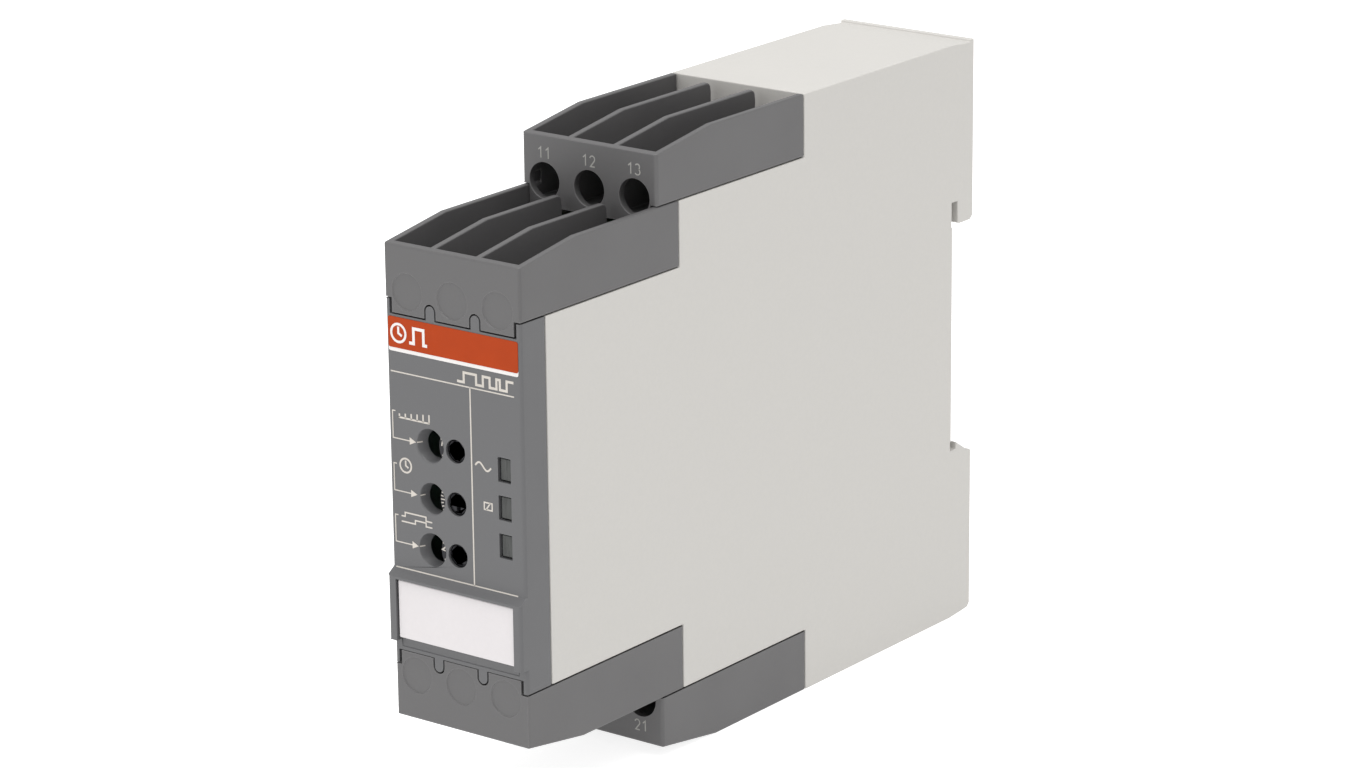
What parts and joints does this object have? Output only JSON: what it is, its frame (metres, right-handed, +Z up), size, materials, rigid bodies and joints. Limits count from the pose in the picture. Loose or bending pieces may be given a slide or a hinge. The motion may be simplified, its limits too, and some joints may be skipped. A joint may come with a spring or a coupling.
{
  "type": "din rail timer",
  "caption": "Slim timer relay that clips on a top hat rail, with stepped terminal tiers, setting dials, lamp windows and a marker plate.",
  "frame": {"origin": "centre of the flat seat on the back that bears on the rail", "axes": "+Y points back, out of the seat and into the rail; +Z is up; +X is to the right seen from the front"},
  "size_m": [0.0226, 0.1037, 0.0856],
  "materials": {
    "housing_plastic": "fine spark-eroded matt",
    "block_plastic": "fine matt",
    "cover_plastic": "fine matt",
    "stripe_foil": "satin",
    "label_plastic": "smooth",
    "black_plastic": "satin",
    "smoked_plastic": "polished, dark",
    "laminate": "satin solder mask",
    "plated_steel": "zinc plated",
    "contact_metal": "tin washed",
    "copper_winding": "enamelled",
    "ferrite": "dull",
    "relay_plastic": "smooth",
    "sleeve_plastic": "smooth",
    "varistor_coating": "lacquered",
    "ivory_plastic": "smooth"
  },
  "bodies": {
    "timer": {"housing": "housing_plastic", "front_cover": "cover_plastic", "accent_stripe": "stripe_foil", "range_switch": "black_plastic", "time_potentiometer": "black_plastic", "function_switch": "black_plastic", "front_board": "laminate", "main_board": "laminate", "board_connector": "black_plastic", "relay_base": "black_plastic", "relay_cover": "relay_plastic", "relay_coil": "copper_winding", "relay_yoke": "plated_steel", "relay_rest_contact": "contact_metal", "relay_work_contact": "contact_metal", "transformer_core": "ferrite", "transformer_winding": "copper_winding", "input_capacitor": "sleeve_plastic", "output_capacitor": "sleeve_plastic", "film_capacitor": "ivory_plastic", "varistor": "varistor_coating", "microcontroller": "black_plastic", "light_pipe_supply": "smoked_plastic", "lamp_supply": "ivory_plastic", "light_pipe_relay": "smoked_plastic", "lamp_relay": "ivory_plastic", "light_pipe_spare": "smoked_plastic", "lamp_spare": "ivory_plastic", "upper_front_terminal_block": "block_plastic", "upper_rear_terminal_block": "block_plastic", "upper_contact_bar_1": "contact_metal", "upper_contact_bar_2": "contact_metal", "upper_contact_bar_3": "contact_metal", "lower_front_terminal_block": "block_plastic", "lower_rear_terminal_block": "block_plastic", "lower_contact_bar_1": "contact_metal", "lower_contact_bar_2": "contact_metal", "lower_contact_bar_3": "contact_metal"},
    "range_dial": {"range_dial": "black_plastic"},
    "time_dial": {"time_dial": "black_plastic"},
    "function_dial": {"function_dial": "black_plastic"},
    "upper_clamp_screw_1": {"upper_clamp_screw_1": "plated_steel"},
    "upper_clamp_cage_1": {"upper_clamp_cage_1": "plated_steel"},
    "upper_clamp_screw_2": {"upper_clamp_screw_2": "plated_steel"},
    "upper_clamp_cage_2": {"upper_clamp_cage_2": "plated_steel"},
    "upper_clamp_screw_3": {"upper_clamp_screw_3": "plated_steel"},
    "upper_clamp_cage_3": {"upper_clamp_cage_3": "plated_steel"},
    "lower_clamp_screw_1": {"lower_clamp_screw_1": "plated_steel"},
    "lower_clamp_cage_1": {"lower_clamp_cage_1": "plated_steel"},
    "lower_clamp_screw_2": {"lower_clamp_screw_2": "plated_steel"},
    "lower_clamp_cage_2": {"lower_clamp_cage_2": "plated_steel"},
    "lower_clamp_screw_3": {"lower_clamp_screw_3": "plated_steel"},
    "lower_clamp_cage_3": {"lower_clamp_cage_3": "plated_steel"},
    "marker_label": {"marker_label": "label_plastic"},
    "rail_spring": {"rail_spring": "plated_steel"},
    "relay_armature": {"relay_armature": "plated_steel", "relay_contact_spring": "contact_metal"}
  },
  "joints": [
    {"name": "range_dial_turn", "type": "hinge", "parent": "timer", "child": "range_dial", "pos_m": [0, -0.0965, 0.0061], "axis": [0, 1, 0], "range_deg": [-36, 288]},
    {"name": "time_dial_turn", "type": "hinge", "parent": "timer", "child": "time_dial", "pos_m": [0, -0.0965, -0.00105], "axis": [0, 1, 0], "range_deg": [-90, 180]},
    {"name": "function_dial_turn", "type": "hinge", "parent": "timer", "child": "function_dial", "pos_m": [0, -0.0965, -0.0081], "axis": [0, 1, 0], "range_deg": [-36, 288]},
    {"name": "upper_clamp_screw_1_turn", "type": "hinge", "parent": "timer", "child": "upper_clamp_screw_1", "pos_m": [-0.0075, -0.0609, 0.0349], "axis": [0, 1, 0], "range_deg": [0, 2305]},
    {"name": "upper_clamp_cage_1_slide", "type": "slide", "parent": "timer", "child": "upper_clamp_cage_1", "axis": [0, -1, 0], "range_m": [0, 0.0032]},
    {"name": "upper_clamp_screw_2_turn", "type": "hinge", "parent": "timer", "child": "upper_clamp_screw_2", "pos_m": [0, -0.0609, 0.0349], "axis": [0, 1, 0], "range_deg": [0, 2305]},
    {"name": "upper_clamp_cage_2_slide", "type": "slide", "parent": "timer", "child": "upper_clamp_cage_2", "axis": [0, -1, 0], "range_m": [0, 0.0032]},
    {"name": "upper_clamp_screw_3_turn", "type": "hinge", "parent": "timer", "child": "upper_clamp_screw_3", "pos_m": [0.0075, -0.0609, 0.0349], "axis": [0, 1, 0], "range_deg": [0, 2305]},
    {"name": "upper_clamp_cage_3_slide", "type": "slide", "parent": "timer", "child": "upper_clamp_cage_3", "axis": [0, -1, 0], "range_m": [0, 0.0032]},
    {"name": "lower_clamp_screw_1_turn", "type": "hinge", "parent": "timer", "child": "lower_clamp_screw_1", "pos_m": [0.0075, -0.0609, -0.0349], "axis": [0, 1, 0], "range_deg": [0, 2305]},
    {"name": "lower_clamp_cage_1_slide", "type": "slide", "parent": "timer", "child": "lower_clamp_cage_1", "axis": [0, -1, 0], "range_m": [0, 0.0032]},
    {"name": "lower_clamp_screw_2_turn", "type": "hinge", "parent": "timer", "child": "lower_clamp_screw_2", "pos_m": [0, -0.0609, -0.0349], "axis": [0, 1, 0], "range_deg": [0, 2305]},
    {"name": "lower_clamp_cage_2_slide", "type": "slide", "parent": "timer", "child": "lower_clamp_cage_2", "axis": [0, -1, 0], "range_m": [0, 0.0032]},
    {"name": "lower_clamp_screw_3_turn", "type": "hinge", "parent": "timer", "child": "lower_clamp_screw_3", "pos_m": [-0.0075, -0.0609, -0.0349], "axis": [0, 1, 0], "range_deg": [0, 2305]},
    {"name": "lower_clamp_cage_3_slide", "type": "slide", "parent": "timer", "child": "lower_clamp_cage_3", "axis": [0, -1, 0], "range_m": [0, 0.0032]},
    {"name": "marker_label_pull", "type": "slide", "parent": "timer", "child": "marker_label", "axis": [0, -1, 0], "range_m": [0, 0.012]},
    {"name": "rail_spring_press", "type": "slide", "parent": "timer", "child": "rail_spring", "axis": [0, 0, 1], "range_m": [0, 0.0014], "stiffness_N_per_m": 8000, "springref_m": -0.0003, "deforming": ["rail_spring"]},
    {"name": "relay_armature_pull", "type": "hinge", "parent": "timer", "child": "relay_armature", "pos_m": [-0.0056, -0.01515, 0.0065], "axis": [0, 1, 0], "range_deg": [0, 5], "stiffness_Nm_per_rad": 0.02, "springref_deg": -2.86}
  ],
  "couplings": [
    {"joint": "upper_clamp_screw_1_turn", "follows": "upper_clamp_cage_1_slide", "rad_per_m": 12566},
    {"joint": "upper_clamp_screw_2_turn", "follows": "upper_clamp_cage_2_slide", "rad_per_m": 12566},
    {"joint": "upper_clamp_screw_3_turn", "follows": "upper_clamp_cage_3_slide", "rad_per_m": 12566},
    {"joint": "lower_clamp_screw_1_turn", "follows": "lower_clamp_cage_1_slide", "rad_per_m": 12566},
    {"joint": "lower_clamp_screw_2_turn", "follows": "lower_clamp_cage_2_slide", "rad_per_m": 12566},
    {"joint": "lower_clamp_screw_3_turn", "follows": "lower_clamp_cage_3_slide", "rad_per_m": 12566}
  ]
}
